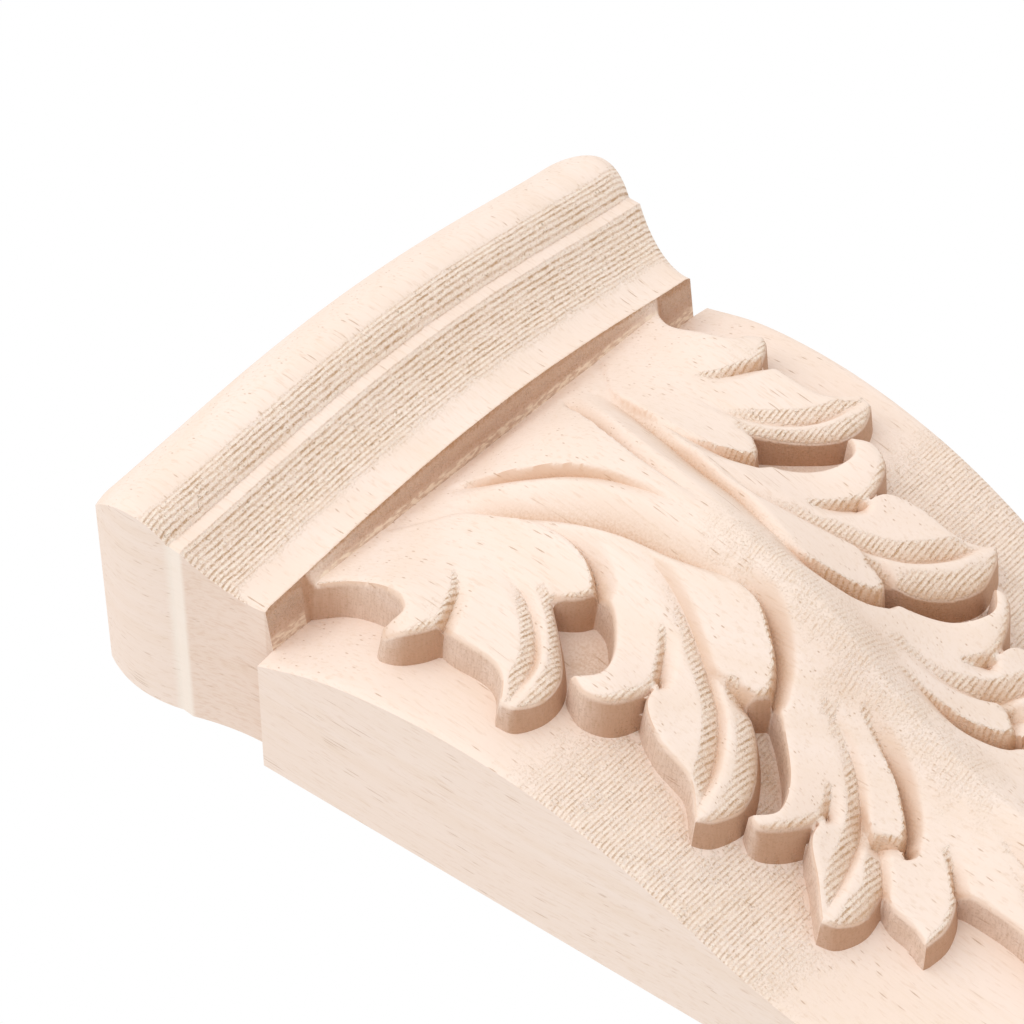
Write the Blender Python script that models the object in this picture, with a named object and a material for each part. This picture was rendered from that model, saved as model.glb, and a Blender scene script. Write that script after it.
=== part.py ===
"""Carved rubberwood corbel: a moulded cap over a tapering, bellied body with an acanthus leaf.

The front is drawn as one surface over the flat back. In that drawing x runs across from the
centre line, l runs down from the step under the cap, and h stands out from the back, all in
millimetres. The leaf is drawn once, for the right half, and mirrored.
"""
import bpy
import numpy as np
from mathutils import Vector
from mathutils.geometry import delaunay_2d_cdt

MM = 0.001

# Driving dimensions, in millimetres
HEIGHT = 140.0
CAP_HEIGHT = 22.3
BODY_LENGTH = HEIGHT - CAP_HEIGHT
SHOULDER_HALF_WIDTH = 35.0
BODY_TAPER = 0.088          # each side, for each millimetre down
BELLY = [(0, 15.4), (7, 18.1), (15, 19.7), (22, 20.2), (29, 19.9), (36, 18.8), (43, 16.7),
         (50, 13.8), (57, 10.6), (64, 8.4), (72, 7.3), (84, 7.0), (118, 7.0)]

# The cap's moulding, read down from the top: roll, fillet, cove, lip
ROLL_END = -11.4
FILLET_END = -10.0
LIP = -0.8
TOP_EASE_WIDTH = 6.5        # the roll rounds over to its top edge within this much of the top
FRONT_MOULDING = dict(top_ease=1.4, roll=2.6, lean=1.0, fillet=24.5, lip=20.6, cove=1.5)
SIDE_MOULDING = dict(top_ease=0.3, roll=1.0, lean=0.0, fillet=35.1, lip=32.7, cove=0.4)
CAP_BOW = 3.3               # how far the middle of the cap's front stands past its ends
BOW_POWER = 1.5             # 1 would be a plain parabola, and more eases the ends
STEP_FOOT = -0.05           # where the step's wall under the lip comes down to the body

# The leaf's rise over the body's front: at the centre line, at the lobes, and how fast it falls
CREST_RISE = [(0, 4.8), (3, 6.3), (7, 7.7), (12, 8.7), (20, 9.1), (28, 9.2), (40, 8.7), (45, 7.9),
              (50, 6.6), (60, 6.0), (75, 5.3), (90, 4.0), (105, 2.4)]
LOBE_RISE = [(0, 4.8), (12, 4.3), (26, 3.7), (45, 3.9), (60, 3.6), (80, 3.0), (105, 2.0)]
CREST_SPREAD = [(0, 10), (30, 10), (42, 8), (60, 6), (105, 5)]
WALL_DRAFT = 0.45

# Outline of half the leaf from the cap to the foot: each stroke is a smooth curve of (x, l)
# points, and the corners where two strokes meet are the lobes' points and the clefts between
LEAF_OUTLINE = [
    [(27.2, -0.9), (24.9, 3.2), (24.6, 8.5), (25.7, 11.0), (27.8, 10.3)],              # notch
    [(27.8, 10.3), (28.6, 11.0), (28.1, 12.8), (26.6, 14.3), (24.6, 15.3)],            # first hook
    [(24.6, 15.3), (25.0, 17.5), (24.9, 21.5), (25.8, 23.8), (28.1, 25.7)],            # first lobe
    [(28.1, 25.7), (27.5, 27.3), (24.7, 28.4), (21.6, 27.8), (18.4, 24.9), (15.4, 21.2)],
    [(15.4, 21.2), (13.8, 23.3), (12.1, 24.3)],                                        # first eye
    [(12.1, 24.3), (13.2, 27.0), (16.5, 29.9), (19.6, 30.8), (21.6, 28.9)],
    [(21.6, 28.9), (22.5, 31.4), (21.3, 33.9), (18.2, 35.1), (15.6, 34.9)],            # second hook
    [(15.6, 34.9), (18.8, 35.9), (20.6, 39.2), (21.2, 43.4), (23.8, 46.4)],            # second lobe
    [(23.8, 46.4), (22.3, 47.6), (18.8, 48.3), (15.6, 47.1), (12.4, 44.5), (10.8, 41.7)],
    [(10.8, 41.7), (9.8, 42.7), (8.6, 43.4)],                                          # second eye
    [(8.6, 43.4), (10.3, 46.0), (13.4, 49.3), (17.0, 50.9), (19.5, 49.4)],
    [(19.5, 49.4), (19.9, 50.8), (18.0, 52.5), (15.0, 53.7), (12.9, 53.7)],            # third hook
    [(12.9, 53.7), (16.2, 54.3), (18.6, 57.0), (21.4, 59.9)],                          # third lobe
    [(21.4, 59.9), (20.4, 61.3), (17.6, 62.2), (14.2, 61.7)],
    [(14.2, 61.7), (15.1, 63.8), (15.2, 66.2), (15.9, 68.2)],                          # fourth lobe
    [(15.9, 68.2), (13.2, 68.4), (10.8, 67.7), (9.1, 66.6)],
    [(9.1, 66.6), (8.5, 68.6), (8.3, 73.5), (9.4, 77.6), (11.9, 80.6)],                # fifth lobe
    [(11.9, 80.6), (10.4, 82.2), (8.2, 82.3), (6.6, 81.3)],
    [(6.6, 81.3), (6.7, 85.0), (5.2, 92.0), (2.4, 99.5), (0.0, 104.5)],                # end lobe
]

# Cuts in the leaf's face, seen from the front: (x, l, depth) along each, then how far its slope
# reaches to the left of its run and to the right. A cut that runs down has the leaf's outer edge
# on its left and the centre line on its right.
CUTS = [
    # the centre petal's edge, from the cap down to the midrib
    ([(8.9, 1.4, 0.0), (7.2, 4.6, 0.9), (4.9, 9.4, 1.3), (3.3, 13.0, 1.3), (1.9, 18.0, 0.9),
      (0.8, 26.0, 0.1)], 1.6, 0.6),
    # the foot of the midrib's flank
    ([(10.9, 5.2, 0.3), (9.8, 9.8, 1.0), (7.6, 16.0, 1.4), (6.0, 22.1, 1.6), (5.2, 27.5, 1.4),
      (3.9, 32.6, 1.0), (3.2, 36.0, 0.4), (3.0, 39.0, 0.0)], 1.1, 3.4),
    # where each group of lobes lies over the next
    ([(16.4, 0.4, 0.2), (13.5, 3.4, 0.3), (11.2, 6.3, 0.4), (9.7, 12.0, 0.4), (9.3, 17.5, 0.6),
      (10.2, 21.6, 1.1), (12.1, 24.3, 1.6)], 0.5, 2.0),
    ([(3.4, 33.4, 0.0), (3.5, 37.4, 1.1), (4.8, 40.2, 1.9), (6.5, 42.2, 2.2), (8.6, 43.4, 2.4)], 0.5, 1.8),
    ([(3.2, 49.8, 0.0), (4.4, 54.8, 1.2), (5.6, 57.3, 1.8), (7.4, 59.5, 2.1), (9.1, 60.4, 2.2)], 0.5, 1.6),
    ([(2.3, 65.0, 0.0), (3.2, 71.0, 0.8), (4.4, 76.5, 1.2), (6.6, 81.3, 1.4)], 0.5, 2.2),
    # behind the hooks
    ([(24.6, 15.3, 1.3), (22.8, 14.6, 1.0), (20.3, 13.3, 0.6), (18.1, 11.0, 0.0)], 1.6, 0.6),
    ([(15.6, 34.9, 1.3), (13.9, 33.9, 1.0), (12.3, 32.8, 0.6), (11.1, 31.6, 0.1)], 1.6, 0.6),
    ([(12.9, 53.7, 1.2), (11.7, 53.1, 0.7), (10.4, 51.9, 0.0)], 1.5, 0.6),
    ([(9.1, 66.6, 1.4), (7.6, 65.0, 0.9), (6.4, 63.0, 0.0)], 1.5, 0.5),
    # the hollow along each ridged lobe
    ([(15.7, 12.8, 0.0), (15.9, 16.0, 0.3), (16.9, 19.2, 0.7), (19.3, 22.5, 1.0), (22.6, 25.0, 1.1),
      (27.4, 26.3, 0.4)], 1.6, 1.0),
    ([(8.0, 21.5, 0.1), (7.0, 26.0, 0.5), (8.2, 31.0, 0.8), (10.9, 36.5, 1.0), (13.9, 41.0, 1.1),
      (18.4, 44.1, 1.2), (23.2, 45.9, 0.5)], 1.8, 1.0),
    ([(5.6, 48.5, 0.2), (7.5, 53.0, 0.7), (11.2, 56.6, 1.1), (16.4, 58.6, 0.9),
      (20.7, 59.7, 0.3)], 1.6, 0.9),
    ([(3.4, 68.0, 0.2), (5.0, 73.0, 0.7), (8.0, 77.6, 0.7), (11.0, 80.0, 0.2)], 1.5, 0.8),
    # the fall from each ridge to the lobe's lower edge
    ([(15.4, 21.2, 0.6), (18.4, 24.9, 1.1), (21.6, 27.8, 1.2), (24.7, 28.4, 0.9),
      (27.5, 27.3, 0.2)], 2.2, 1.0),
    ([(10.8, 41.7, 0.8), (12.4, 44.5, 1.2), (15.6, 47.1, 1.3), (18.8, 48.3, 1.1),
      (22.3, 47.6, 0.3)], 2.4, 1.0),
    ([(10.9, 58.7, 0.8), (14.2, 61.7, 1.2), (17.6, 62.2, 1.0), (20.4, 61.3, 0.2)], 2.0, 1.0),
    # the step from each inner petal down to the ridged lobe beside it
    ([(11.4, 37.2, 0.0), (11.1, 40.0, 0.8), (10.8, 41.7, 1.1)], 1.6, 0.6),
    ([(9.0, 54.4, 0.0), (11.1, 57.6, 0.9), (10.4, 58.9, 1.4), (9.1, 60.4, 2.0)], 1.6, 0.6),
    # the midrib's raised arris, a cut of negative depth
    ([(0.0, 26.0, 0.0), (0.0, 34.0, -0.8), (0.0, 46.0, -1.3), (0.0, 62.0, -1.2),
      (0.0, 104.0, -0.3)], 4.5, 4.5),
]

# Local swells and dips of the leaf's face: (x, l, radius, rise)
SWELLS = [(24.5, 9.5, 5.0, 1.1), (28.9, 10.4, 2.0, -2.0), (20.6, 32.2, 4.5, 1.4), (17.2, 51.6, 4.0, 1.0)]

CUT_HOLLOW = 1.2            # 1 would make a cut's sides straight, and more hollows them

# Spacing of the facets
OUTLINE_STEP = 1.0
CUT_STEP = 1.5
LEAF_STEP = 1.9
GROUND_STEP = 4.0
CAP_STEP = 3.2
ROLL_FACETS = 10
COVE_FACETS = 8
ROW_PITCH = 0.866           # the spacing of a triangle's rows for sides of one
CLEARANCE = 0.5             # how near a loose point may come to a line, in steps
SNAP = 0.0001


def through(points, at):
    """Smooth values through (place, value) points."""
    place, value = np.array(points, float).T
    slope = np.gradient(value, place)
    at = np.clip(at, place[0], place[-1])
    i = np.clip(np.searchsorted(place, at) - 1, 0, len(place) - 2)
    span = place[i + 1] - place[i]
    t = (at - place[i]) / span
    return (value[i] * (1 + 2 * t) * (1 - t) ** 2 + value[i + 1] * t * t * (3 - 2 * t)
            + span * (slope[i] * t * (1 - t) ** 2 - slope[i + 1] * t * t * (1 - t)))


def curve(points, step):
    """A Catmull-Rom curve through the points, sampled about every step."""
    p = np.array(points, float)
    p = np.vstack([2 * p[0] - p[1], p, 2 * p[-1] - p[-2]])
    out = []
    for a, b, c, d in zip(p[:-3], p[1:-2], p[2:-1], p[3:]):
        count = max(1, round(np.hypot(*(c - b)[:2]) / step))
        t = (np.arange(count) / count)[:, None]
        out.append(0.5 * (2 * b + (c - a) * t + (2 * a - 5 * b + 4 * c - d) * t ** 2
                          + (3 * b - a - 3 * c + d) * t ** 3))
    return np.vstack(out + [p[-2:-1]])


def nearest(line, x, l):
    """Distance to a line of points, its side (+1 to the right of its run) and its values there."""
    far = np.full(x.shape, np.inf)
    side = np.ones(x.shape)
    values = np.zeros((line.shape[1] - 2,) + x.shape)
    for a, b in zip(line[:-1], line[1:]):
        run = (b - a)[:2]
        t = np.clip(((x - a[0]) * run[0] + (l - a[1]) * run[1]) / (run @ run), 0, 1)
        dx, dl = x - a[0] - t * run[0], l - a[1] - t * run[1]
        d = np.hypot(dx, dl)
        closer = d < far
        far[closer] = d[closer]
        side[closer] = np.sign(run[0] * dl - run[1] * dx)[closer]
        for k in range(2, line.shape[1]):
            values[k - 2][closer] = (a[k] + t * (b[k] - a[k]))[closer]
    return far, side, values


def inside(outline, x, l):
    """True for places inside a closed outline."""
    odd = np.zeros(x.shape, bool)
    for (x0, l0), (x1, l1) in zip(outline, np.roll(outline, -1, axis=0)):
        if l0 != l1:
            odd ^= ((l0 > l) != (l1 > l)) & (x < x0 + (l - l0) * (x1 - x0) / (l1 - l0))
    return odd


def bulge(t, rise, half):
    """Height of a round-backed arc of the given rise over a chord, t from -1 to 1 along it."""
    radius = (half * half + rise * rise) / (2 * rise)
    return np.sqrt(np.maximum(radius ** 2 - (half * np.clip(t, -1, 1)) ** 2, 0)) - radius + rise


def moulding(l, top_ease, roll, lean, fillet, lip, cove):
    """The cap's profile: a roll that leans to the fillet, the fillet, then a cove down to the lip."""
    roll_half = (ROLL_END + CAP_HEIGHT) / 2
    cove_half = (LIP - FILLET_END) / 2
    t = np.clip((l - ROLL_END + roll_half) / roll_half, -1, 1)
    roll_line = fillet + bulge(t, roll, roll_half) + lean * t * (1 - t * t)
    roll_line -= top_ease * np.clip(1 - (l + CAP_HEIGHT) / TOP_EASE_WIDTH, 0, 1) ** 2
    t = (l - FILLET_END) / (2 * cove_half)
    cove_line = fillet + (lip - fillet) * t - bulge(2 * t - 1, cove, cove_half)
    return np.where(l < ROLL_END, roll_line, np.where(l < FILLET_END, fillet, cove_line))


def leaf_rise(x, l):
    """The leaf's height over the body's front, with its cuts and swells."""
    lobe = through(LOBE_RISE, l)
    rise = lobe + (through(CREST_RISE, l) - lobe) * np.exp(-(x / through(CREST_SPREAD, l)) ** 2)
    for sx, sl, radius, amount in SWELLS:
        rise += amount * np.exp(-((x - sx) ** 2 + (l - sl) ** 2) / radius ** 2)
    for points, left, right in CUTS:
        far, side, (depth,) = nearest(curve(points, CUT_STEP), x, l)
        rise -= depth * np.clip(1 - far / np.where(side > 0, right, left), 0, 1) ** CUT_HOLLOW
    return rise


def front(x, l):
    """Height of the whole front over the back."""
    x = np.abs(x)
    bow = CAP_BOW * np.clip(1 - (x / SHOULDER_HALF_WIDTH) ** 2, 0, 1) ** BOW_POWER
    cap = moulding(l, **FRONT_MOULDING) + bow
    far, _, _ = nearest(HALF_LEAF, x, l)
    out = np.where(inside(LEAF_SHAPE, x, l), 0.0, far)
    body = through(BELLY, l) + leaf_rise(x, np.maximum(l, 0)) * np.clip(1 - out / WALL_DRAFT, 0, 1)
    down = np.clip((l - LIP) / (STEP_FOOT - LIP), 0, 1)
    return np.where(l <= LIP, cap, cap + (body - cap) * down)


def set_out(line, distance, tolerance=0.97):
    """A line moved to its left by the distance, without the points that would cross at a cleft."""
    run = np.gradient(line, axis=0)
    normal = np.stack([run[:, 1], -run[:, 0]], 1) / np.hypot(*run.T)[:, None]
    moved = line + normal * distance
    far, _, _ = nearest(line, moved[:, 0], moved[:, 1])
    return moved[(far > tolerance * distance) & (moved[:, 0] > 0)]


def edge_outline():
    """Right-hand half of the front's edge, from the middle of the cap's top round to the foot."""
    roll = np.linspace(-CAP_HEIGHT, ROLL_END, ROLL_FACETS + 1)
    cove = np.linspace(FILLET_END, LIP, COVE_FACETS + 1)
    rows = np.concatenate([roll, cove])
    cap = np.stack([moulding(rows, **SIDE_MOULDING), rows], 1)
    across = np.arange(0, cap[0, 0] - CAP_STEP / 2, CAP_STEP)
    top = np.stack([across, np.full(across.shape, -CAP_HEIGHT)], 1)
    down = np.linspace(0, BODY_LENGTH, round(BODY_LENGTH / CAP_STEP) + 1)
    body = np.stack([SHOULDER_HALF_WIDTH - BODY_TAPER * down, down], 1)
    return rows, np.vstack([top, cap, [(cap[-1, 0], STEP_FOOT)], body])


def mirrored(points):
    """The points with their copies on the other side of the centre line."""
    return np.vstack([points, (points * (-1, 1))[points[:, 0] > SNAP]])


HALF_LEAF = np.vstack([curve(stroke, OUTLINE_STEP)[:-1] for stroke in LEAF_OUTLINE]
                      + [np.array([LEAF_OUTLINE[-1][-1]])])
LEAF_SHAPE = np.vstack([HALF_LEAF, [(-1, BODY_LENGTH), (-1, -CAP_HEIGHT), (HALF_LEAF[0, 0], -CAP_HEIGHT)]])


def front_points():
    """The front's corner points and the lines that its facets keep to."""
    rows, edge = edge_outline()
    lines = [HALF_LEAF[1:], set_out(HALF_LEAF, WALL_DRAFT)]
    lines += [curve([p[:2] for p in points], CUT_STEP) for points, _, _ in CUTS]
    for row in rows[1:]:
        reach = moulding(row, **SIDE_MOULDING)
        across = np.linspace(0, reach, round(reach / CAP_STEP) + 1)[:-1]
        lines.append(np.stack([across, np.full(across.shape, row)], 1))
    across = np.arange(0, SHOULDER_HALF_WIDTH - CAP_STEP, CAP_STEP)
    lines.append(np.stack([across, np.full(across.shape, STEP_FOOT)], 1))
    fixed = np.vstack(lines + [edge])

    loose = []
    for step, wanted in ((LEAF_STEP, True), (GROUND_STEP, False)):
        columns = np.arange(0, SHOULDER_HALF_WIDTH, step)
        for k, row in enumerate(np.arange(step / 2, BODY_LENGTH, step * ROW_PITCH)):
            x = columns + (k % 2) * step / 2
            l = np.full(x.shape, row)
            within = x < SHOULDER_HALF_WIDTH - BODY_TAPER * row - step * CLEARANCE
            gap = np.min(np.hypot(x[:, None] - fixed[:, 0], l[:, None] - fixed[:, 1]), axis=1)
            keep = within & (inside(LEAF_SHAPE, x, l) == wanted) & (gap > step * CLEARANCE)
            loose.append(np.stack([x, l], 1)[keep])
    return edge, lines, np.vstack(loose)


def front_facets():
    """The front's corner points and its facets, which turn outwards, in the drawing."""
    edge, lines, loose = front_points()
    left = (edge[1:] * (-1, 1))[::-1]
    loop = np.vstack([edge, left])
    flat = [tuple(p) for p in loop]
    bonds = [(i, (i + 1) % len(loop)) for i in range(len(loop))]
    for line in lines:
        for flip in (1, -1):
            start = len(flat)
            flat += [(x * flip, l) for x, l in line]
            bonds += [(start + i, start + i + 1) for i in range(len(line) - 1)]
    flat += [tuple(p) for p in mirrored(loose)]
    points, _, faces, _, _, _ = delaunay_2d_cdt([Vector(p) for p in flat], bonds, [], 0, SNAP, True)
    place = np.array([tuple(p) for p in points])
    middle = np.array([place[list(f)].mean(axis=0) for f in faces])
    return place, [tuple(f)[::-1] for f, keep in zip(faces, inside(loop, *middle.T)) if keep]


def rim_of(faces):
    """The corners round the outside of a sheet of facets, in the order its facets turn."""
    sides = {(f[i], f[(i + 1) % len(f)]) for f in faces for i in range(len(f))}
    after = {a: b for a, b in sides if (b, a) not in sides}
    rim = [min(after)]
    while after[rim[-1]] != rim[0]:
        rim.append(after[rim[-1]])
    return rim


def build_corbel():
    """The corbel as one closed mesh, upright, with its origin in the middle of the flat back."""
    place, faces = front_facets()
    height = front(*place.T)
    rim = rim_of(faces)
    top = HEIGHT / 2 - CAP_HEIGHT
    number = {old: new for new, old in enumerate(sorted({i for f in faces for i in f}))}
    corners = [(place[i, 0] * MM, -height[i] * MM, (top - place[i, 1]) * MM) for i in number]
    base = len(corners)
    corners += [(place[i, 0] * MM, 0.0, (top - place[i, 1]) * MM) for i in rim]
    facets = [tuple(number[i] for i in f) for f in faces]
    for k in range(len(rim)):
        n = (k + 1) % len(rim)
        facets.append((number[rim[n]], number[rim[k]], base + k, base + n))
    facets.append(tuple(range(base + len(rim) - 1, base - 1, -1)))
    mesh = bpy.data.meshes.new("corbel")
    mesh.from_pydata(corners, [], facets)
    return mesh


def wood():
    """Pale unfinished rubberwood."""
    material = bpy.data.materials.new("rubberwood")
    material.use_nodes = True
    shader = material.node_tree.nodes["Principled BSDF"]
    shader.inputs["Base Color"].default_value = (0.80, 0.66, 0.52, 1.0)
    shader.inputs["Roughness"].default_value = 0.75
    shader.inputs["Metallic"].default_value = 0.0
    return material


for old in list(bpy.data.objects):
    bpy.data.objects.remove(old)
corbel = bpy.data.objects.new("corbel", build_corbel())
corbel.data.materials.append(wood())
bpy.context.scene.collection.objects.link(corbel)
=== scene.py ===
import math

import bpy
import numpy as np
from mathutils import Matrix, Vector
from mathutils.geometry import delaunay_2d_cdt
from mathutils.kdtree import KDTree


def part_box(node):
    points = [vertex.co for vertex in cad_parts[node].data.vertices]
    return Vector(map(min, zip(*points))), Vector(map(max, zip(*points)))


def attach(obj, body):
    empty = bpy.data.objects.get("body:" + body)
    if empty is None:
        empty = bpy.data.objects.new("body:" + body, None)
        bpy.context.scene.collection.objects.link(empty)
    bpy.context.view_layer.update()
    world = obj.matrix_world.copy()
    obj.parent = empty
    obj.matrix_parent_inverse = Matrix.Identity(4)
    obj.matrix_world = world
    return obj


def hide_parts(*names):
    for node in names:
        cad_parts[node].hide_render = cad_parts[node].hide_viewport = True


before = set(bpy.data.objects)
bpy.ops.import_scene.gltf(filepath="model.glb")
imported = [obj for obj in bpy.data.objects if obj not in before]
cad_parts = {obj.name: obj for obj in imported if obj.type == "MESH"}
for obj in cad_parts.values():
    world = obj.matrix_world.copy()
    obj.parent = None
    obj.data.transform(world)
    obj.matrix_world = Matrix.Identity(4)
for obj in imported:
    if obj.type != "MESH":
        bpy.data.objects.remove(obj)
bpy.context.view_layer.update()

# The carved corbel. One block of pale rubberwood, shaped on a carving machine: a bowed cap over
# a bellied body with an acanthus leaf, left as the cutter made it. It is glued up by its flat back.

# In its drawing x runs across from the centre line and l down from the step under the cap, in
# millimetres, and heights are over the back
MM = 0.001
low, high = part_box("corbel")
HEIGHT = (high[2] - low[2]) / MM
CAP_HEIGHT = 22.3
BODY_LENGTH = HEIGHT - CAP_HEIGHT
STEP_UP = high[2] / MM - CAP_HEIGHT
SHOULDER_HALF_WIDTH = 35.0
BODY_TAPER = 0.088          # each side, for each millimetre down
BELLY = [(0, 15.4), (7, 18.1), (15, 19.7), (22, 20.2), (29, 19.9), (36, 18.8), (43, 16.7),
         (50, 13.8), (57, 10.6), (64, 8.4), (72, 7.3), (84, 7.0), (118, 7.0)]

# The cap's moulding, read down from the top: roll, fillet, cove, lip
ROLL_END = -11.4
FILLET_END = -10.0
LIP = -0.8
TOP_EASE_WIDTH = 6.5        # the roll rounds over to its top edge within this much of the top
FRONT_MOULDING = dict(top_ease=1.4, roll=2.6, lean=1.0, fillet=24.5, lip=20.6, cove=1.5)
SIDE_MOULDING = dict(top_ease=0.3, roll=1.0, lean=0.0, fillet=35.1, lip=32.7, cove=0.4)
CAP_BOW = 3.3               # how far the middle of the cap's front stands past its ends
BOW_POWER = 1.5             # 1 would be a plain parabola, and more eases the ends
STEP_FOOT = -0.05           # where the step's wall under the lip comes down to the body

# The leaf's rise over the body's front: at the centre line, at the lobes, and how fast it falls
CREST_RISE = [(0, 4.8), (3, 6.3), (7, 7.7), (12, 8.7), (20, 9.1), (28, 9.2), (40, 8.7), (45, 7.9),
              (50, 6.6), (60, 6.0), (75, 5.3), (90, 4.0), (105, 2.4)]
LOBE_RISE = [(0, 4.8), (12, 4.3), (26, 3.7), (45, 3.9), (60, 3.6), (80, 3.0), (105, 2.0)]
CREST_SPREAD = [(0, 10), (30, 10), (42, 8), (60, 6), (105, 5)]
WALL_DRAFT = 0.45
ARRIS_DROP = 0.35           # the leaf's top edge is eased by this much, over ARRIS_WIDTH
ARRIS_WIDTH = 0.85
EDGE_DROP = 0.3             # and the front's long edges by this much, over EDGE_WIDTH
EDGE_WIDTH = 0.9
ROLL_EDGE_DROP = 0.7        # the roll's ends are rounder
ROLL_EDGE_WIDTH = 1.9

# Outline of half the leaf from the cap to the foot: each stroke is a smooth curve of (x, l)
# points, and the corners where two strokes meet are the lobes' points and the clefts between
LEAF_OUTLINE = [
    [(27.2, -0.9), (24.9, 3.2), (24.6, 8.5), (25.7, 11.0), (27.8, 10.3)],              # notch
    [(27.8, 10.3), (28.6, 11.0), (28.1, 12.8), (26.6, 14.3), (24.6, 15.3)],            # first hook
    [(24.6, 15.3), (25.0, 17.5), (24.9, 21.5), (25.8, 23.8), (28.1, 25.7)],            # first lobe
    [(28.1, 25.7), (27.5, 27.3), (24.7, 28.4), (21.6, 27.8), (18.4, 24.9), (15.4, 21.2)],
    [(15.4, 21.2), (13.8, 23.3), (12.1, 24.3)],                                        # first eye
    [(12.1, 24.3), (13.2, 27.0), (16.5, 29.9), (19.6, 30.8), (21.6, 28.9)],
    [(21.6, 28.9), (22.5, 31.4), (21.3, 33.9), (18.2, 35.1), (15.6, 34.9)],            # second hook
    [(15.6, 34.9), (18.8, 35.9), (20.6, 39.2), (21.2, 43.4), (23.8, 46.4)],            # second lobe
    [(23.8, 46.4), (22.3, 47.6), (18.8, 48.3), (15.6, 47.1), (12.4, 44.5), (10.8, 41.7)],
    [(10.8, 41.7), (9.8, 42.7), (8.6, 43.4)],                                          # second eye
    [(8.6, 43.4), (10.3, 46.0), (13.4, 49.3), (17.0, 50.9), (19.5, 49.4)],
    [(19.5, 49.4), (19.9, 50.8), (18.0, 52.5), (15.0, 53.7), (12.9, 53.7)],            # third hook
    [(12.9, 53.7), (16.2, 54.3), (18.6, 57.0), (21.4, 59.9)],                          # third lobe
    [(21.4, 59.9), (20.4, 61.3), (17.6, 62.2), (14.2, 61.7)],
    [(14.2, 61.7), (15.1, 63.8), (15.2, 66.2), (15.9, 68.2)],                          # fourth lobe
    [(15.9, 68.2), (13.2, 68.4), (10.8, 67.7), (9.1, 66.6)],
    [(9.1, 66.6), (8.5, 68.6), (8.3, 73.5), (9.4, 77.6), (11.9, 80.6)],                # fifth lobe
    [(11.9, 80.6), (10.4, 82.2), (8.2, 82.3), (6.6, 81.3)],
    [(6.6, 81.3), (6.7, 85.0), (5.2, 92.0), (2.4, 99.5), (0.0, 104.5)],                # end lobe
]

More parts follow.
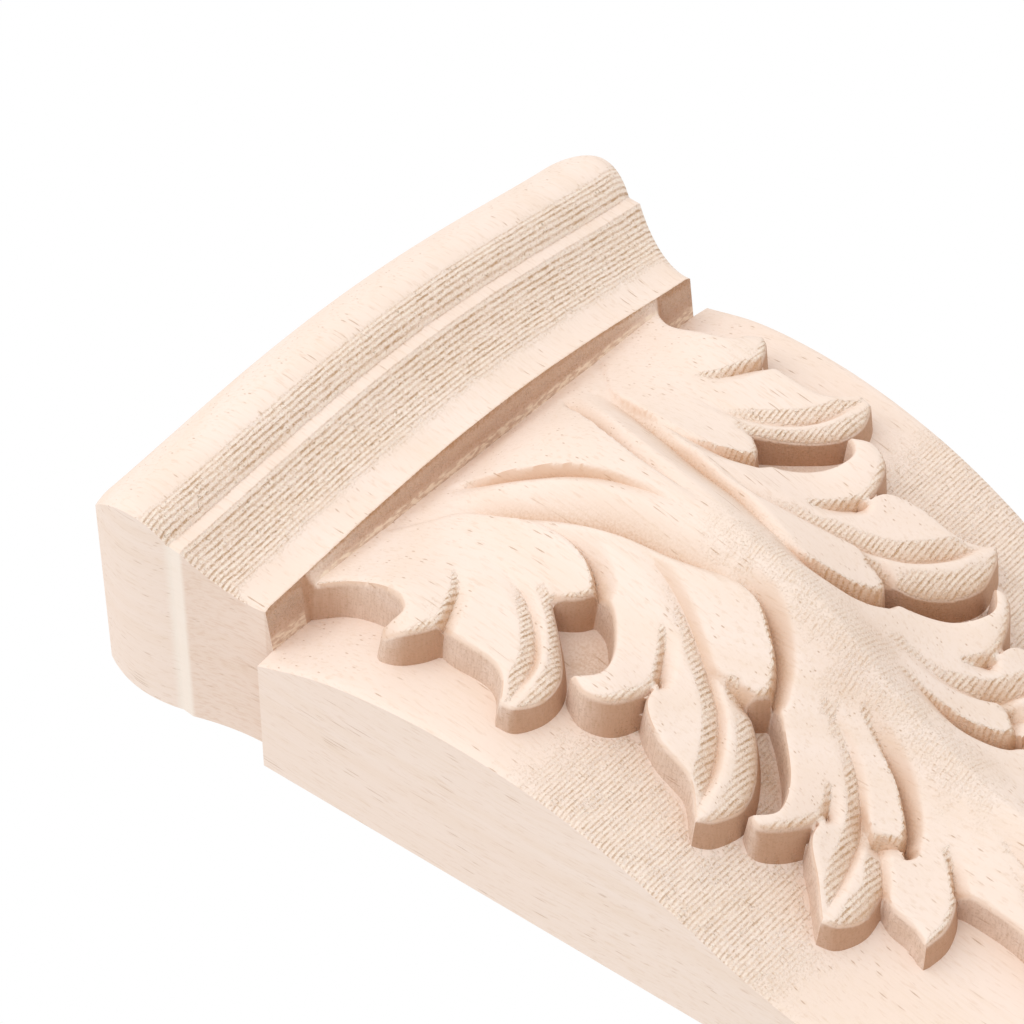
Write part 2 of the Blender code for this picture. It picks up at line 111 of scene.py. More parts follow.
# Cuts in the leaf's face, seen from the front: (x, l, depth) along each, then how far its slope
# reaches to the left of its run and to the right. A cut that runs down has the leaf's outer edge
# on its left and the centre line on its right.
CUTS = [
    # the centre petal's edge, from the cap down to the midrib
    ([(8.9, 1.4, 0.0), (7.2, 4.6, 0.9), (4.9, 9.4, 1.3), (3.3, 13.0, 1.3), (1.9, 18.0, 0.9),
      (0.8, 26.0, 0.1)], 1.6, 0.6),
    # the foot of the midrib's flank
    ([(10.9, 5.2, 0.3), (9.8, 9.8, 1.0), (7.6, 16.0, 1.4), (6.0, 22.1, 1.6), (5.2, 27.5, 1.4),
      (3.9, 32.6, 1.0), (3.2, 36.0, 0.4), (3.0, 39.0, 0.0)], 1.1, 3.4),
    # where each group of lobes lies over the next
    ([(16.4, 0.4, 0.2), (13.5, 3.4, 0.3), (11.2, 6.3, 0.4), (9.7, 12.0, 0.4), (9.3, 17.5, 0.6),
      (10.2, 21.6, 1.1), (12.1, 24.3, 1.6)], 0.5, 2.0),
    ([(3.4, 33.4, 0.0), (3.5, 37.4, 1.1), (4.8, 40.2, 1.9), (6.5, 42.2, 2.2),
      (8.6, 43.4, 2.4)], 0.5, 1.8),
    ([(3.2, 49.8, 0.0), (4.4, 54.8, 1.2), (5.6, 57.3, 1.8), (7.4, 59.5, 2.1),
      (9.1, 60.4, 2.2)], 0.5, 1.6),
    ([(2.3, 65.0, 0.0), (3.2, 71.0, 0.8), (4.4, 76.5, 1.2), (6.6, 81.3, 1.4)], 0.5, 2.2),
    # behind the hooks
    ([(24.6, 15.3, 1.3), (22.8, 14.6, 1.0), (20.3, 13.3, 0.6), (18.1, 11.0, 0.0)], 1.6, 0.6),
    ([(15.6, 34.9, 1.3), (13.9, 33.9, 1.0), (12.3, 32.8, 0.6), (11.1, 31.6, 0.1)], 1.6, 0.6),
    ([(12.9, 53.7, 1.2), (11.7, 53.1, 0.7), (10.4, 51.9, 0.0)], 1.5, 0.6),
    ([(9.1, 66.6, 1.4), (7.6, 65.0, 0.9), (6.4, 63.0, 0.0)], 1.5, 0.5),
    # the hollow along each ridged lobe
    ([(15.7, 12.8, 0.0), (15.9, 16.0, 0.3), (16.9, 19.2, 0.7), (19.3, 22.5, 1.0), (22.6, 25.0, 1.1),
      (27.4, 26.3, 0.4)], 1.6, 1.0),
    ([(8.0, 21.5, 0.1), (7.0, 26.0, 0.5), (8.2, 31.0, 0.8), (10.9, 36.5, 1.0), (13.9, 41.0, 1.1),
      (18.4, 44.1, 1.2), (23.2, 45.9, 0.5)], 1.8, 1.0),
    ([(5.6, 48.5, 0.2), (7.5, 53.0, 0.7), (11.2, 56.6, 1.1), (16.4, 58.6, 0.9),
      (20.7, 59.7, 0.3)], 1.6, 0.9),
    ([(3.4, 68.0, 0.2), (5.0, 73.0, 0.7), (8.0, 77.6, 0.7), (11.0, 80.0, 0.2)], 1.5, 0.8),
    # the fall from each ridge to the lobe's lower edge
    ([(15.4, 21.2, 0.6), (18.4, 24.9, 1.1), (21.6, 27.8, 1.2), (24.7, 28.4, 0.9),
      (27.5, 27.3, 0.2)], 2.2, 1.0),
    ([(10.8, 41.7, 0.8), (12.4, 44.5, 1.2), (15.6, 47.1, 1.3), (18.8, 48.3, 1.1),
      (22.3, 47.6, 0.3)], 2.4, 1.0),
    ([(10.9, 58.7, 0.8), (14.2, 61.7, 1.2), (17.6, 62.2, 1.0), (20.4, 61.3, 0.2)], 2.0, 1.0),
    # the step from each inner petal down to the ridged lobe beside it
    ([(11.4, 37.2, 0.0), (11.1, 40.0, 0.8), (10.8, 41.7, 1.1)], 1.6, 0.6),
    ([(9.0, 54.4, 0.0), (11.1, 57.6, 0.9), (10.4, 58.9, 1.1), (9.1, 60.4, 0.9)], 1.6, 0.6),
    # the midrib's raised arris, a cut of negative depth
    ([(0.0, 26.0, 0.0), (0.0, 34.0, -0.8), (0.0, 46.0, -1.3), (0.0, 62.0, -1.2),
      (0.0, 104.0, -0.3)], 4.5, 4.5),
]

# Local swells and dips of the leaf's face: (x, l, radius, rise)
SWELLS = [(24.5, 9.5, 5.0, 1.1), (28.9, 10.4, 2.0, -2.0), (20.6, 32.2, 4.5, 1.4),
          (17.2, 51.6, 4.0, 1.0)]

CUT_HOLLOW = 1.2            # 1 would make a cut's sides straight, and more hollows them
# the next sets the depth at which a cut's painted shade is darkest
DEEPEST = 1.5               # the depth at which a cut is at its darkest

# The ground inside the leaf's eyes, deep pockets that get painted shade: (x, l, radius)
SHADED_EYES = [(16.0, 27.0, 4.0), (13.0, 46.5, 3.6), (11.8, 64.0, 1.5)]

# How much painted shade the step's wall gets, where the leaf's walls get 1, and how far a wall's painted
# shade and scores run, where 1 is the wall's foot
STEP_WALL_SHADE = 0.6
WALL_END = 1.2

# How torn the ground and the midrib are, and the stretches of l where that comes in and goes
TORN_GROUND = 0.7
GROUND_GOES = (56, 66)
TORN_MIDRIB = 0.5
MIDRIB_COMES = (22, 34)
MIDRIB_GOES = (60, 72)
MIDRIB_SPREAD = 5

# How steeply the surface falls to the foot where its fibre starts to tear, and where it tears most
GROUND_FALL = (0.03, 0.25)
LEAF_FALL = (0.09, 0.42)
CAP_FALL = (0.15, 0.55)
WHOLE_FILLET = (0.5, 0.9)   # the tearing comes in between these distances from the fillet's middle
WHOLE_RIM = 0.25            # and over this distance from the leaf's edge

# Spacing of the fine surface's points
OUTLINE_STEP = 0.34
CUT_STEP = 0.4
LEAF_STEP = 0.32
GROUND_STEP = 0.75
CAP_STEP = 0.8
ROLL_FACETS = 40
COVE_FACETS = 30
ROW_PITCH = 0.866           # the spacing of a triangle's rows for sides of one
CLEARANCE = 0.6             # how near a loose point may come to a line, in steps
WALL_RINGS = (-0.45, -0.2, 0.05, 0.25, 0.45)
EDGE_RINGS = np.array([0.6, 0.3])
ROLL_EDGE_RINGS = np.array([1.5, 1.1, 0.8, 0.5, 0.25])
FILLET_FACETS = 4
SNAP = 0.0001
SHARP_FOLD = 0.75           # radians


def through(points, at):
    """Smooth values through (place, value) points."""
    place, value = np.array(points, float).T
    slope = np.gradient(value, place)
    at = np.clip(at, place[0], place[-1])
    i = np.clip(np.searchsorted(place, at) - 1, 0, len(place) - 2)
    span = place[i + 1] - place[i]
    t = (at - place[i]) / span
    return (value[i] * (1 + 2 * t) * (1 - t) ** 2 + value[i + 1] * t * t * (3 - 2 * t)
            + span * (slope[i] * t * (1 - t) ** 2 - slope[i + 1] * t * t * (1 - t)))


def curve(points, step):
    """A Catmull-Rom curve through the points, sampled about every step."""
    p = np.array(points, float)
    p = np.vstack([2 * p[0] - p[1], p, 2 * p[-1] - p[-2]])
    out = []
    for a, b, c, d in zip(p[:-3], p[1:-2], p[2:-1], p[3:]):
        count = max(1, round(np.hypot(*(c - b)[:2]) / step))
        t = (np.arange(count) / count)[:, None]
        out.append(0.5 * (2 * b + (c - a) * t + (2 * a - 5 * b + 4 * c - d) * t ** 2
                          + (3 * b - a - 3 * c + d) * t ** 3))
    return np.vstack(out + [p[-2:-1]])


def nearest(line, x, l):
    """Distance to a line of points, its side (+1 to the right of its run) and its values there."""
    far = np.full(x.shape, np.inf)
    side = np.ones(x.shape)
    values = np.zeros((line.shape[1] - 2,) + x.shape)
    for a, b in zip(line[:-1], line[1:]):
        run = (b - a)[:2]
        t = np.clip(((x - a[0]) * run[0] + (l - a[1]) * run[1]) / (run @ run), 0, 1)
        dx, dl = x - a[0] - t * run[0], l - a[1] - t * run[1]
        d = np.hypot(dx, dl)
        closer = d < far
        far[closer] = d[closer]
        side[closer] = np.sign(run[0] * dl - run[1] * dx)[closer]
        for k in range(2, line.shape[1]):
            values[k - 2][closer] = (a[k] + t * (b[k] - a[k]))[closer]
    return far, side, values


def inside(outline, x, l):
    """True for places inside a closed outline."""
    odd = np.zeros(x.shape, bool)
    for (x0, l0), (x1, l1) in zip(outline, np.roll(outline, -1, axis=0)):
        if l0 != l1:
            odd ^= ((l0 > l) != (l1 > l)) & (x < x0 + (l - l0) * (x1 - x0) / (l1 - l0))
    return odd


def bulge(t, rise, half):
    """Height of a round-backed arc of the given rise over a chord, t from -1 to 1 along it."""
    radius = (half * half + rise * rise) / (2 * rise)
    return np.sqrt(np.maximum(radius ** 2 - (half * np.clip(t, -1, 1)) ** 2, 0)) - radius + rise


def moulding(l, top_ease, roll, lean, fillet, lip, cove):
    """The cap's profile: a roll that leans to the fillet, the fillet, then a cove down to the lip."""
    roll_half = (ROLL_END + CAP_HEIGHT) / 2
    cove_half = (LIP - FILLET_END) / 2
    t = np.clip((l - ROLL_END + roll_half) / roll_half, -1, 1)
    roll_line = fillet + bulge(t, roll, roll_half) + lean * t * (1 - t * t)
    roll_line -= top_ease * np.clip(1 - (l + CAP_HEIGHT) / TOP_EASE_WIDTH, 0, 1) ** 2
    t = (l - FILLET_END) / (2 * cove_half)
    cove_line = fillet + (lip - fillet) * t - bulge(2 * t - 1, cove, cove_half)
    return np.where(l < ROLL_END, roll_line, np.where(l < FILLET_END, fillet, cove_line))


def reach(l):
    """Half width of the whole front."""
    cap = np.minimum(moulding(l, **SIDE_MOULDING), high[0] / MM)
    return np.where(l <= LIP, cap, SHOULDER_HALF_WIDTH - BODY_TAPER * l)


def cut_away(x, l):
    """How much the cuts take off the leaf's face at each place."""
    amount = np.zeros(x.shape)
    for points, left, right in CUTS:
        far, side, (depth,) = nearest(curve(points, CUT_STEP), x, l)
        amount += depth * np.clip(1 - far / np.where(side > 0, right, left), 0, 1) ** CUT_HOLLOW
    return amount


def leaf_rise(x, l):
    """The leaf's height over the body's front, with its swells and before its cuts."""
    lobe = through(LOBE_RISE, l)
    rise = lobe + (through(CREST_RISE, l) - lobe) * np.exp(-(x / through(CREST_SPREAD, l)) ** 2)
    for sx, sl, radius, amount in SWELLS:
        rise += amount * np.exp(-((x - sx) ** 2 + (l - sl) ** 2) / radius ** 2)
    return rise


def front(x, l):
    """Height of the front over the back, each place's way down the leaf's wall, and its cut."""
    x = np.abs(x)
    bow = CAP_BOW * np.clip(1 - (x / SHOULDER_HALF_WIDTH) ** 2, 0, 1) ** BOW_POWER
    cap = moulding(l, **FRONT_MOULDING) + bow
    far, _, _ = nearest(HALF_LEAF, x, l)
    within = inside(LEAF_SHAPE, x, l)
    wall = np.where(within, 0.0, far / WALL_DRAFT)
    cut = cut_away(x, np.maximum(l, 0))
    rise = leaf_rise(x, np.maximum(l, 0)) - cut
    arris = ARRIS_DROP * np.clip(1 - far / ARRIS_WIDTH, 0, 1) ** 2
    body = through(BELLY, l) + (rise - arris) * np.clip(1 - wall, 0, 1)
    down = np.clip((l - LIP) / (STEP_FOOT - LIP), 0, 1)
    edge = EDGE_DROP * np.clip(1 - (reach(l) - x) / EDGE_WIDTH, 0, 1) ** 2
    roll_edge = ROLL_EDGE_DROP * np.clip(1 - (reach(l) - x) / ROLL_EDGE_WIDTH, 0, 1) ** 2
    edge = np.where(l < ROLL_END, roll_edge, edge)
    return np.where(l <= LIP, cap, cap + (body - cap) * down) - edge, wall, cut


def set_out(line, distance, tolerance=0.97):
    """A line moved to its left by the distance, without the points that would cross at a cleft."""
    run = np.gradient(line, axis=0)
    normal = np.stack([run[:, 1], -run[:, 0]], 1) / np.hypot(*run.T)[:, None]
    moved = line + normal * distance
    far, _, _ = nearest(line, moved[:, 0], moved[:, 1])
    return moved[(far > tolerance * abs(distance)) & (moved[:, 0] > 0)]


def edge_outline():
    """Right-hand half of the front's edge, from the middle of the cap's top round to the foot."""
    roll = np.linspace(-CAP_HEIGHT, ROLL_END, ROLL_FACETS + 1)
    fillet = np.linspace(ROLL_END, FILLET_END, FILLET_FACETS + 1)[1:-1]
    cove = np.linspace(FILLET_END, LIP, COVE_FACETS + 1)
    rows = np.concatenate([roll, fillet, cove])
    cap = np.stack([reach(rows), rows], 1)
    across = np.arange(0, cap[0, 0] - CAP_STEP / 2, CAP_STEP)
    top = np.stack([across, np.full(across.shape, -CAP_HEIGHT)], 1)
    down = np.linspace(0, BODY_LENGTH, round(BODY_LENGTH / CAP_STEP) + 1)
    body = np.stack([SHOULDER_HALF_WIDTH - BODY_TAPER * down, down], 1)
    return rows, np.vstack([top, cap, [(cap[-1, 0], STEP_FOOT)], body])


HALF_LEAF = np.vstack([curve(stroke, OUTLINE_STEP)[:-1] for stroke in LEAF_OUTLINE]
                      + [np.array([LEAF_OUTLINE[-1][-1]])])
LEAF_SHAPE = np.vstack([HALF_LEAF, [(-1, BODY_LENGTH), (-1, -CAP_HEIGHT),
                                    (HALF_LEAF[0, 0], -CAP_HEIGHT)]])


def front_points():
    """The front's corner points and the lines that its facets keep to."""
    rows, edge = edge_outline()
    lines = [set_out(HALF_LEAF, distance) for distance in WALL_RINGS]
    lines += [curve([p[:2] for p in points], CUT_STEP) for points, _, _ in CUTS]
    for row in rows[1:]:
        width, rings = (ROLL_EDGE_WIDTH, ROLL_EDGE_RINGS) if row < ROLL_END else (EDGE_WIDTH, EDGE_RINGS)
        flat = reach(row) - width
        across = np.append(np.linspace(0, flat, round(flat / CAP_STEP) + 1), reach(row) - rings)
        lines.append(np.stack([across, np.full(across.shape, row)], 1))
    lines += [edge[edge[:, 1] > 0] - (ring, 0) for ring in EDGE_RINGS]
    across = np.arange(0, SHOULDER_HALF_WIDTH - CAP_STEP, CAP_STEP)
    lines.append(np.stack([across, np.full(across.shape, STEP_FOOT)], 1))
    fixed = np.vstack(lines + [edge])
    tree = KDTree(len(fixed))
    for k, (x, l) in enumerate(fixed):
        tree.insert((x, l, 0), k)
    tree.balance()

    loose = []
    for step, wanted in ((LEAF_STEP, True), (GROUND_STEP, False)):
        columns = np.arange(0, SHOULDER_HALF_WIDTH, step)
        for k, row in enumerate(np.arange(step / 2, BODY_LENGTH, step * ROW_PITCH)):
            x = columns + (k % 2) * step / 2
            l = np.full(x.shape, row)
            within = x < reach(row) - step * CLEARANCE
            gap = np.array([tree.find((a, b, 0))[2] for a, b in zip(x, l)])
            keep = within & (inside(LEAF_SHAPE, x, l) == wanted) & (gap > step * CLEARANCE)
            loose.append(np.stack([x, l], 1)[keep])
    return edge, lines, np.vstack(loose)


def front_facets():
    """The front's corner points and its facets, which turn outwards, in the drawing."""
    edge, lines, loose = front_points()
    left = (edge[1:] * (-1, 1))[::-1]
    loop = np.vstack([edge, left])
    flat = [tuple(p) for p in loop]
    bonds = [(i, (i + 1) % len(loop)) for i in range(len(loop))]
    for line in lines:
        for flip in (1, -1):
            start = len(flat)
            flat += [(x * flip, l) for x, l in line]
            bonds += [(start + i, start + i + 1) for i in range(len(line) - 1)]
    flat += [tuple(p) for p in loose]
    flat += [(-x, l) for x, l in loose if x > SNAP]
    points, _, faces, _, _, _ = delaunay_2d_cdt([Vector(p) for p in flat], bonds, [], 0, SNAP, True)
    place = np.array([tuple(p) for p in points])
    middle = place[np.array(faces)].mean(axis=1)
    return place, [tuple(f)[::-1] for f, keep in zip(faces, inside(loop, *middle.T)) if keep]


def rim_of(faces):
    """The corners round the outside of a sheet of facets, in the order its facets turn."""
    sides = {(f[i], f[(i + 1) % len(f)]) for f in faces for i in range(len(f))}
    after = {a: b for a, b in sides if (b, a) not in sides}
    rim = [min(after)]
    while after[rim[-1]] != rim[0]:
        rim.append(after[rim[-1]])
    return rim


def ease(value, start, end):
    """0 up to start and 1 from end, eased between them."""
    t = np.clip((value - start) / (end - start), 0, 1)
    return t * t * (3 - 2 * t)


def torn_share(x, l, wall, fall):
    """How torn the cutter left each place of the front, from how steeply it falls to the foot."""
    belly_fall = (through(BELLY, l) - through(BELLY, l + 1)) * ease(l, 0, 1)
    ground = TORN_GROUND * ease(belly_fall, *GROUND_FALL) * (1 - ease(l, *GROUND_GOES)) * (wall > 1)
    midrib = TORN_MIDRIB * ease(l, *MIDRIB_COMES) * (1 - ease(l, *MIDRIB_GOES))
    midrib *= np.exp(-(x / MIDRIB_SPREAD) ** 2)
    rim = ease(nearest(HALF_LEAF, np.abs(x), l)[0], 0.0, WHOLE_RIM)
    leaf = np.maximum(ease(fall - belly_fall, *LEAF_FALL), midrib) * rim * (wall == 0)
    off_fillet = np.abs(l - (ROLL_END + FILLET_END) / 2)
    cap = ease(fall, *CAP_FALL) * ease(off_fillet, *WHOLE_FILLET) * (l <= LIP)
    return np.where(l <= 0, cap, np.where(wall == 0, leaf, ground))


def carve_corbel():
    """The corbel as one closed mesh, upright, with its origin in the middle of the flat back."""
    place, faces = front_facets()
    height, wall, cut = front(*place.T)
    rim = rim_of(faces)
    number = {old: new for new, old in enumerate(sorted({i for f in faces for i in f}))}
    corners = [(place[i, 0] * MM, -height[i] * MM, (STEP_UP - place[i, 1]) * MM) for i in number]
    base = len(corners)
    corners += [(place[i, 0] * MM, 0.0, (STEP_UP - place[i, 1]) * MM) for i in rim]
    facets = [tuple(number[i] for i in f) for f in faces]
    for k in range(len(rim)):
        n = (k + 1) % len(rim)
        facets.append((number[rim[n]], number[rim[k]], base + k, base + n))
    facets.append(tuple(range(base + len(rim) - 1, base - 1, -1)))
    mesh = bpy.data.meshes.new("carved_corbel")
    mesh.from_pydata(corners, [], facets)
    x, l = place[list(number)].T
    wall, cut = wall[list(number)], cut[list(number)]
    back = np.zeros(len(rim))
    # each wall's share of painted shade and scores, less on the step's wall
    stepped = np.maximum((wall > 0) & (wall < WALL_END), STEP_WALL_SHADE * ((l > LIP - SNAP) & (l < 0)))
    # painted shade in the leaf's creases, deepest in its cuts, and on the ground inside its eyes
    sunk_shade = (np.clip(cut, 0, DEEPEST) / DEEPEST) ** 2 * (wall == 0) * (l > 0)
    for ex, el, radius in SHADED_EYES:
        sunk_shade += (wall > 0) * np.exp(-((np.abs(x) - ex) ** 2 + (l - el) ** 2) / radius ** 2)
    for name, share in (("leaf_wall", stepped), ("sunk_shade", sunk_shade), ("leaf_face", (wall == 0) & (l > 0))):
        values = np.append(share.astype(float), back)
        mesh.attributes.new(name, "FLOAT", "POINT").data.foreach_set("value", values)
    mesh.shade_smooth()
    normals = np.empty(3 * len(corners), np.float32)
    mesh.vertex_normals.foreach_get("vector", normals)
    _, out, up = normals.reshape(-1, 3)[:base].T.astype(float)
    fall = -up / np.maximum(-out, 0.1)
    torn = np.append(torn_share(x, l, wall, fall), back)
    mesh.attributes.new("torn", "FLOAT", "POINT").data.foreach_set("value", torn)
    mesh.set_sharp_from_angle(angle=SHARP_FOLD)
    return mesh


class Wire:
    """A shader socket that can be reckoned with: each operator adds its Math node."""

    def __init__(self, tree, socket):
        self.tree = tree
        self.socket = socket

    def node(self, kind, settings=None, inputs=None, out=0):
        """Add a node, set it, give its sockets their values or links, and return an output."""
        made = self.tree.nodes.new(kind)
        for name, value in (settings or {}).items():
            setattr(made, name, value)
        for name, value in (inputs or {}).items():
            if isinstance(value, Wire):
                self.tree.links.new(value.socket, made.inputs[name])
            else:
                made.inputs[name].default_value = value
        return Wire(self.tree, made.outputs[out])

    def math(self, operation, *others):
        return self.node("ShaderNodeMath", {"operation": operation}, dict(enumerate((self,) + others)))

    def __add__(self, other):
        return self.math("ADD", other)

    def __sub__(self, other):
        return self.math("SUBTRACT", other)

    def __mul__(self, other):
        return self.math("MULTIPLY", other)

    def __rsub__(self, other):
        return self.math("MULTIPLY", -1.0).math("ADD", other)

    def __neg__(self):
        return self.math("MULTIPLY", -1.0)

    def __abs__(self):
        return self.math("ABSOLUTE")

    __radd__ = __add__
    __rmul__ = __mul__

    def between(self, start, end):
        """0 up to start and 1 from end, eased between them."""
        limits = {"Value": self, "From Min": start, "From Max": end}
        return self.node("ShaderNodeMapRange", {"interpolation_type": "SMOOTHSTEP"}, limits)


PASS = 0.460                # millimetres between the cutter's passes, which run across the grain
GRAIN_SWING = 7.0           # millimetres that the grain wanders
PITH = (34.0, -62.0, 0.0)   # from the pith, well behind the block, to the origin

# Colours of the bare wood
FRESH_FACE = (0.895, 0.750, 0.655, 1)
LATE_RING = (0.870, 0.712, 0.600, 1)
STREAK = (0.80, 0.63, 0.48, 1)
CLOUD = (0.900, 0.728, 0.625, 1)
WISP = (0.70, 0.50, 0.36, 1)
PORE = (0.50, 0.31, 0.18, 1)

# Colours that the cutter leaves, with painted shade and painted highlights among them
TORN_FUZZ = (0.68, 0.47, 0.29, 1)
# painted shade for the troughs of the cutter's rows, and a painted highlight for their crests
ROW_SHADE = (0.47, 0.27, 0.13, 1)
ROW_GLINT = (0.98, 0.90, 0.77, 1)
SPECK = (0.26, 0.15, 0.07, 1)
# end grain's own darker tone, also laid on as painted shade where the surface faces down
END_GRAIN_AND_SHADE = (0.475, 0.265, 0.15, 1)
# painted shade on the leaf's banks that turn away from the front
BANK_SHADE = (0.62, 0.34, 0.17, 1)
CREASE_SHADE = (0.60, 0.38, 0.23, 1)
# painted shade on the leaf's walls and the step's wall
WALL_SHADE = (0.42, 0.19, 0.08, 1)
SCORE = (0.42, 0.24, 0.13, 1)
WALL_FLECK = (0.36, 0.20, 0.10, 1)
FRAYED_FOOT = (0.95, 0.80, 0.64, 1)
# painted shade for the cove's ends on the cap's sides, and a painted highlight for the fillet's ends
COVE_SIDE_SHADE = (0.72, 0.50, 0.37, 1)
FILLET_SIDE_HIGHLIGHT = (0.95, 0.86, 0.76, 1)

# Relief of the wood in millimetres
PORE_DEPTH = 0.03
ROW_DEPTH = 0.06
WISP_DEPTH = 0.01
TORN_RELIEF = 0.08
FACE_RELIEF = 0.015
WALL_RELIEF = 0.05
SCORE_RELIEF = 0.04


def stretch(at, x, y, z):
    """A place with each axis scaled."""
    return at.node("ShaderNodeVectorMath", {"operation": "MULTIPLY"}, {0: at, 1: (x, y, z)})


def noise(at, scale=1.0, detail=2.0, out="Fac"):
    """Soft random values over a place."""
    return at.node("ShaderNodeTexNoise", {}, {"Vector": at, "Scale": scale, "Detail": detail}, out)


def along(vector, axis):
    """One axis of a place or a direction."""
    return vector.node("ShaderNodeSeparateXYZ", inputs={0: vector}, out=axis)


def marked(wire, name):
    """A share that the mesh's points carry."""
    return wire.node("ShaderNodeAttribute", {"attribute_name": name}, out="Fac")


def tint(share, base, colour):
    """The base, taken towards a colour by a share."""
    return share.node("ShaderNodeMix", {"data_type": "RGBA"}, {"Factor": share, 6: base, 7: colour}, 2)


def bare_wood(in_mm, grain, wisps):
    """Colour before any carving: growth rings about the pith, streaks, clouds and wisps."""
    across = {0: stretch(grain, 1, 1, 0), 1: PITH}
    off_pith = grain.node("ShaderNodeVectorMath", {"operation": "ADD"}, across)
    radius = grain.node("ShaderNodeVectorMath", {"operation": "LENGTH"}, {0: off_pith}, out="Value")
    rings = noise(grain.node("ShaderNodeCombineXYZ", inputs={0: radius}), 0.33, 3.0)
    streaks = noise(stretch(grain, 3.2, 3.2, 0.12), detail=3.0)
    clouds = noise(in_mm, 0.05)
    colour = tint(rings.between(0.35, 0.7), FRESH_FACE, LATE_RING)
    colour = tint(streaks.between(0.45, 0.8) * 0.4, colour, STREAK)
    colour = tint(clouds.between(0.3, 0.8) * 0.4, colour, CLOUD)
    return tint(wisps * 0.28, colour, WISP)


def open_pores(in_mm, grain):
    """Long tubes along the grain, cut where the surface crosses them."""
    cells = {"Vector": stretch(grain, 1.0, 1.0, 0.0), "Scale": 1.8, "Randomness": 1.0}
    gap = grain.node("ShaderNodeTexVoronoi", {"voronoi_dimensions": "2D"}, cells, "Distance")
    lot = grain.node("ShaderNodeTexVoronoi", {"voronoi_dimensions": "2D"}, cells, "Color")
    chosen = grain.node("ShaderNodeSeparateColor", inputs={0: lot}).between(0.2, 0.8)
    broken = noise(stretch(in_mm, 0.7, 0.7, 0.32), detail=1.0).between(0.48, 0.58)
    return (1.0 - gap.between(0.05, 0.17)) * chosen * broken


def torn_rows(in_mm, aside, fuzz, fibres):
    """Torn fibre with ragged edges, and for each pass a line of painted shade in its trough and painted
    highlights on its crest.
    """
    torn = marked(in_mm, "torn") * (1.0 - aside.between(0.6, 0.9))
    patchy = noise(stretch(in_mm, 0.4, 0.4, 0.8))
    torn = torn * (torn + fuzz * 1.4 + patchy * 0.9).between(1.4, 1.8)
    row = along(in_mm, "Z") * (1 / PASS) + patchy * 0.4 + noise(stretch(in_mm, 2.6, 2.6, 2.6)) * 0.3
    crest = (row * (2 * math.pi)).math("SINE")
    strength = noise(stretch(in_mm, 0.25, 0.25, 1.7)).between(0.3, 0.62)
    dashes = (noise(stretch(in_mm, 1.6, 1.6, 4.4)) * 0.5 + fibres * 0.5).between(0.40, 0.58)
    trough = (-crest).between(0.0, 0.9)
    lines = torn * trough * (strength * 0.5 + 0.5) * (dashes * 0.8 + 0.2)
    glints = torn * crest.between(-0.1, 0.8) * fibres.between(0.42, 0.60)
    return torn, lines, glints


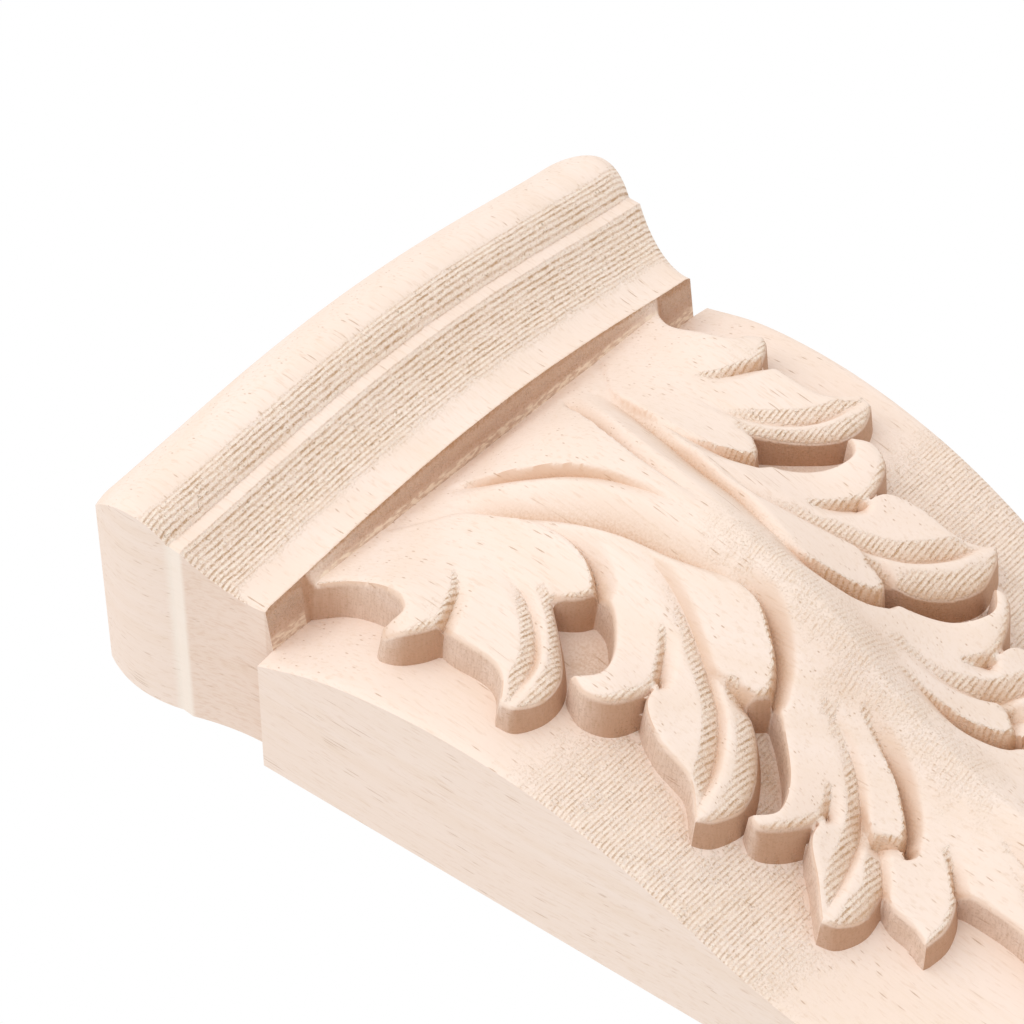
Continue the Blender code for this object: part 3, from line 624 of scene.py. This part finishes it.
def rubberwood():
    """Pale raw rubberwood, as a carving cutter leaves it."""
    material = bpy.data.materials.new("rubberwood")
    material.use_nodes = True
    tree = material.node_tree
    shader = tree.nodes["Principled BSDF"]
    here = Wire(tree, None)
    in_mm = stretch(here.node("ShaderNodeTexCoord", out="Object"), 1 / MM, 1 / MM, 1 / MM)
    turn = here.node("ShaderNodeNewGeometry", out="Normal")
    upward = along(turn, "Z")
    outward = -along(turn, "Y")
    aside = abs(along(turn, "X"))
    height = along(in_mm, "Z")
    fuzz = noise(stretch(in_mm, 4.2, 4.2, 4.2), detail=3.0)
    fibres = noise(stretch(in_mm, 6.0, 6.0, 3.5))

    # the grain runs up the block and wanders a little
    wander = noise(in_mm, 0.022, 1.0, "Color")
    swing = {0: wander, 1: (GRAIN_SWING, GRAIN_SWING, 0.0), 2: in_mm}
    grain = here.node("ShaderNodeVectorMath", {"operation": "MULTIPLY_ADD"}, swing)
    wisps = noise(stretch(grain, 3.4, 3.4, 0.55)).between(0.54, 0.74)
    pore = open_pores(in_mm, grain)
    colour = bare_wood(in_mm, grain, wisps)
    colour = tint(pore * (outward * 0.25 + 0.4), colour, PORE)

    # rows of torn fibre, where the cutter came down across the grain, with painted shade in each row's
    # trough and painted highlights on its crest
    torn, lines, glints = torn_rows(in_mm, aside, fuzz, fibres)
    specks = noise(stretch(in_mm, 3.2, 3.2, 2.2), detail=1.0).between(0.66, 0.74)
    colour = tint(torn * fuzz.between(0.42, 0.68) * 0.45, colour, TORN_FUZZ)
    colour = tint(lines * 0.85, colour, ROW_SHADE)
    colour = tint(glints * 0.65, colour, ROW_GLINT)
    colour = tint(torn * specks * 0.5, colour, SPECK)

    # end grain above and below, with painted shade where it faces down, and painted shade on the leaf's
    # steep banks and in its creases
    wall = marked(here, "leaf_wall")
    sunk_shade = marked(here, "sunk_shade")
    # end grain's own tone where the surface faces along the grain, twice as strong where it faces down,
    # as painted shade
    end_grain_and_shade = (1.0 - wall) * (-upward).between(0.86, 0.99) + upward.between(0.8, 0.97) * 0.5
    # painted shade on the leaf's face, darker the more it turns away from the front
    bank_shade = marked(here, "leaf_face") * (1.0 - outward.between(0.40, 0.88))
    colour = tint(end_grain_and_shade * 0.66, colour, END_GRAIN_AND_SHADE)
    colour = tint(bank_shade * 0.5, colour, BANK_SHADE)
    # painted shade in the creases and the eyes, broken up by fuzz
    colour = tint(sunk_shade * (fuzz.between(0.35, 0.7) * 0.4 + 0.3), colour, CREASE_SHADE)

    # the leaf's walls and the step's: painted shade, darker where they face down, and scores where the
    # cutter's side rubbed
    steep = wall * (1.0 - outward.between(0.25, 0.6))
    scores = noise(stretch(in_mm, 5.0, 0.3, 5.0), detail=3.0)
    colour = tint(steep * ((-upward).between(-0.2, 0.8) * 0.5 + 0.27), colour, WALL_SHADE)
    colour = tint(steep * scores.between(0.35, 0.75) * 0.28, colour, SCORE)
    colour = tint(steep * fuzz.between(0.52, 0.66) * 0.25, colour, WALL_FLECK)

    # the step's wall has a pale, broken line along its foot
    over = height.between(STEP_UP + 0.20, STEP_UP + 0.32)
    foot = height.between(STEP_UP - 0.1, STEP_UP) * (1.0 - over)
    foot = foot * (-upward).between(0.6, 0.9) * (1.0 - wall.between(STEP_WALL_SHADE + 0.02, STEP_WALL_SHADE + 0.12))
    frayed = noise(stretch(in_mm, 0.9, 2.4, 0.0), detail=3.0).between(0.40, 0.60)
    colour = tint(wall * foot * (frayed + 0.2), colour, FRAYED_FOOT)

    # the cap's sides: a painted highlight on the fillet's end, and painted shade on the cove's end below
    # it, flecked with grain
    side = aside.between(0.8, 0.95)
    highlight_band = height.between(STEP_UP - FILLET_END - 0.4, STEP_UP - FILLET_END + 0.2)
    highlight_band_end = height.between(STEP_UP - ROLL_END, STEP_UP - ROLL_END + 1.0)
    shade = side * height.between(STEP_UP, STEP_UP - LIP) * (1.0 - highlight_band)
    flecks = noise(stretch(in_mm, 3.0, 3.0, 0.45)).between(0.45, 0.75)
    colour = tint(shade * (flecks * 0.35 + 0.2), colour, COVE_SIDE_SHADE)
    colour = tint(side * highlight_band * (1.0 - highlight_band_end) * 0.6, colour, FILLET_SIDE_HIGHLIGHT)

    relief = pore * -PORE_DEPTH + lines * -ROW_DEPTH + wisps * -WISP_DEPTH
    relief = relief + torn * (fuzz + fibres) * TORN_RELIEF + fuzz * FACE_RELIEF
    relief = relief + (steep + sunk_shade) * fuzz * WALL_RELIEF + steep * scores * SCORE_RELIEF
    bump = here.node("ShaderNodeBump", inputs={"Height": relief * MM, "Strength": 1.0, "Distance": 1.0})
    rough = torn * 0.2 + pore * 0.15 + 0.62
    tree.links.new(colour.socket, shader.inputs["Base Color"])
    tree.links.new(bump.socket, shader.inputs["Normal"])
    tree.links.new(rough.socket, shader.inputs["Roughness"])
    shader.inputs["Specular IOR Level"].default_value = 0.3
    return material


corbel = bpy.data.objects.new("carved_corbel", carve_corbel())
bpy.context.scene.collection.objects.link(corbel)
corbel.data.materials.append(rubberwood())
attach(corbel, "root")
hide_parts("corbel")

# The stage: a plain pale floor well below the corbel, a white room, and one soft window of light
# from the upper left in front.
FLOOR_DROP = 0.30
FLOOR_HALF = 1.5
PAPER = (0.85, 0.85, 0.85, 1)
ROOM_LIGHT = 0.90
WINDOW_PLACE = (-0.45, -1.05, 0.52)
WINDOW_AIM = (0, -0.02, 0)
WINDOW_SIZE = 1.3
WINDOW_POWER = 6.0
floor_corners = [(x * FLOOR_HALF, y * FLOOR_HALF, -FLOOR_DROP)
                 for x, y in ((-1, -1), (1, -1), (1, 1), (-1, 1))]
floor_mesh = bpy.data.meshes.new("floor")
floor_mesh.from_pydata(floor_corners, [], [(0, 1, 2, 3)])
floor = bpy.data.objects.new("floor", floor_mesh)
bpy.context.scene.collection.objects.link(floor)
paper = bpy.data.materials.new("pale_paper")
paper.use_nodes = True
paper.node_tree.nodes["Principled BSDF"].inputs["Base Color"].default_value = PAPER
paper.node_tree.nodes["Principled BSDF"].inputs["Roughness"].default_value = 0.9
floor_mesh.materials.append(paper)

world = bpy.data.worlds.new("white_room")
world.use_nodes = True
sky = Wire(world.node_tree, None)
seen = sky.node("ShaderNodeLightPath", out="Is Camera Ray")
background = world.node_tree.nodes["Background"]
background.inputs["Color"].default_value = (1, 1, 1, 1)
world.node_tree.links.new((seen * (1 - ROOM_LIGHT) + ROOM_LIGHT).socket, background.inputs["Strength"])
bpy.context.scene.world = world

lamp = bpy.data.lights.new("window", "AREA")
lamp.size = WINDOW_SIZE
lamp.energy = WINDOW_POWER
window = bpy.data.objects.new("window", lamp)
window.location = WINDOW_PLACE
window.rotation_euler = (Vector(WINDOW_AIM) - Vector(WINDOW_PLACE)).to_track_quat("-Z", "Y").to_euler()
bpy.context.scene.collection.objects.link(window)

# The camera: close, below and to the left of the corbel, and turned so that it lies across the view.
CAMERA_PLACE = (-0.19405, -0.27562, -0.12346)
CAMERA_AIM = (-0.00601, -0.02000, 0.03989)
CAMERA_UP = (0.5339, -0.6979, 0.4774)
camera = bpy.data.objects.new("camera", bpy.data.cameras.new("camera"))
camera.data.lens = 124.56
camera.data.sensor_width = 36.0
camera.data.clip_start = 0.01
behind = (Vector(CAMERA_PLACE) - Vector(CAMERA_AIM)).normalized()
right = Vector(CAMERA_UP).cross(behind).normalized()
axes = Matrix((right, behind.cross(right), behind)).transposed()
camera.matrix_world = Matrix.Translation(CAMERA_PLACE) @ axes.to_4x4()
bpy.context.scene.collection.objects.link(camera)
bpy.context.scene.camera = camera
bpy.context.scene.view_settings.view_transform = "Standard"
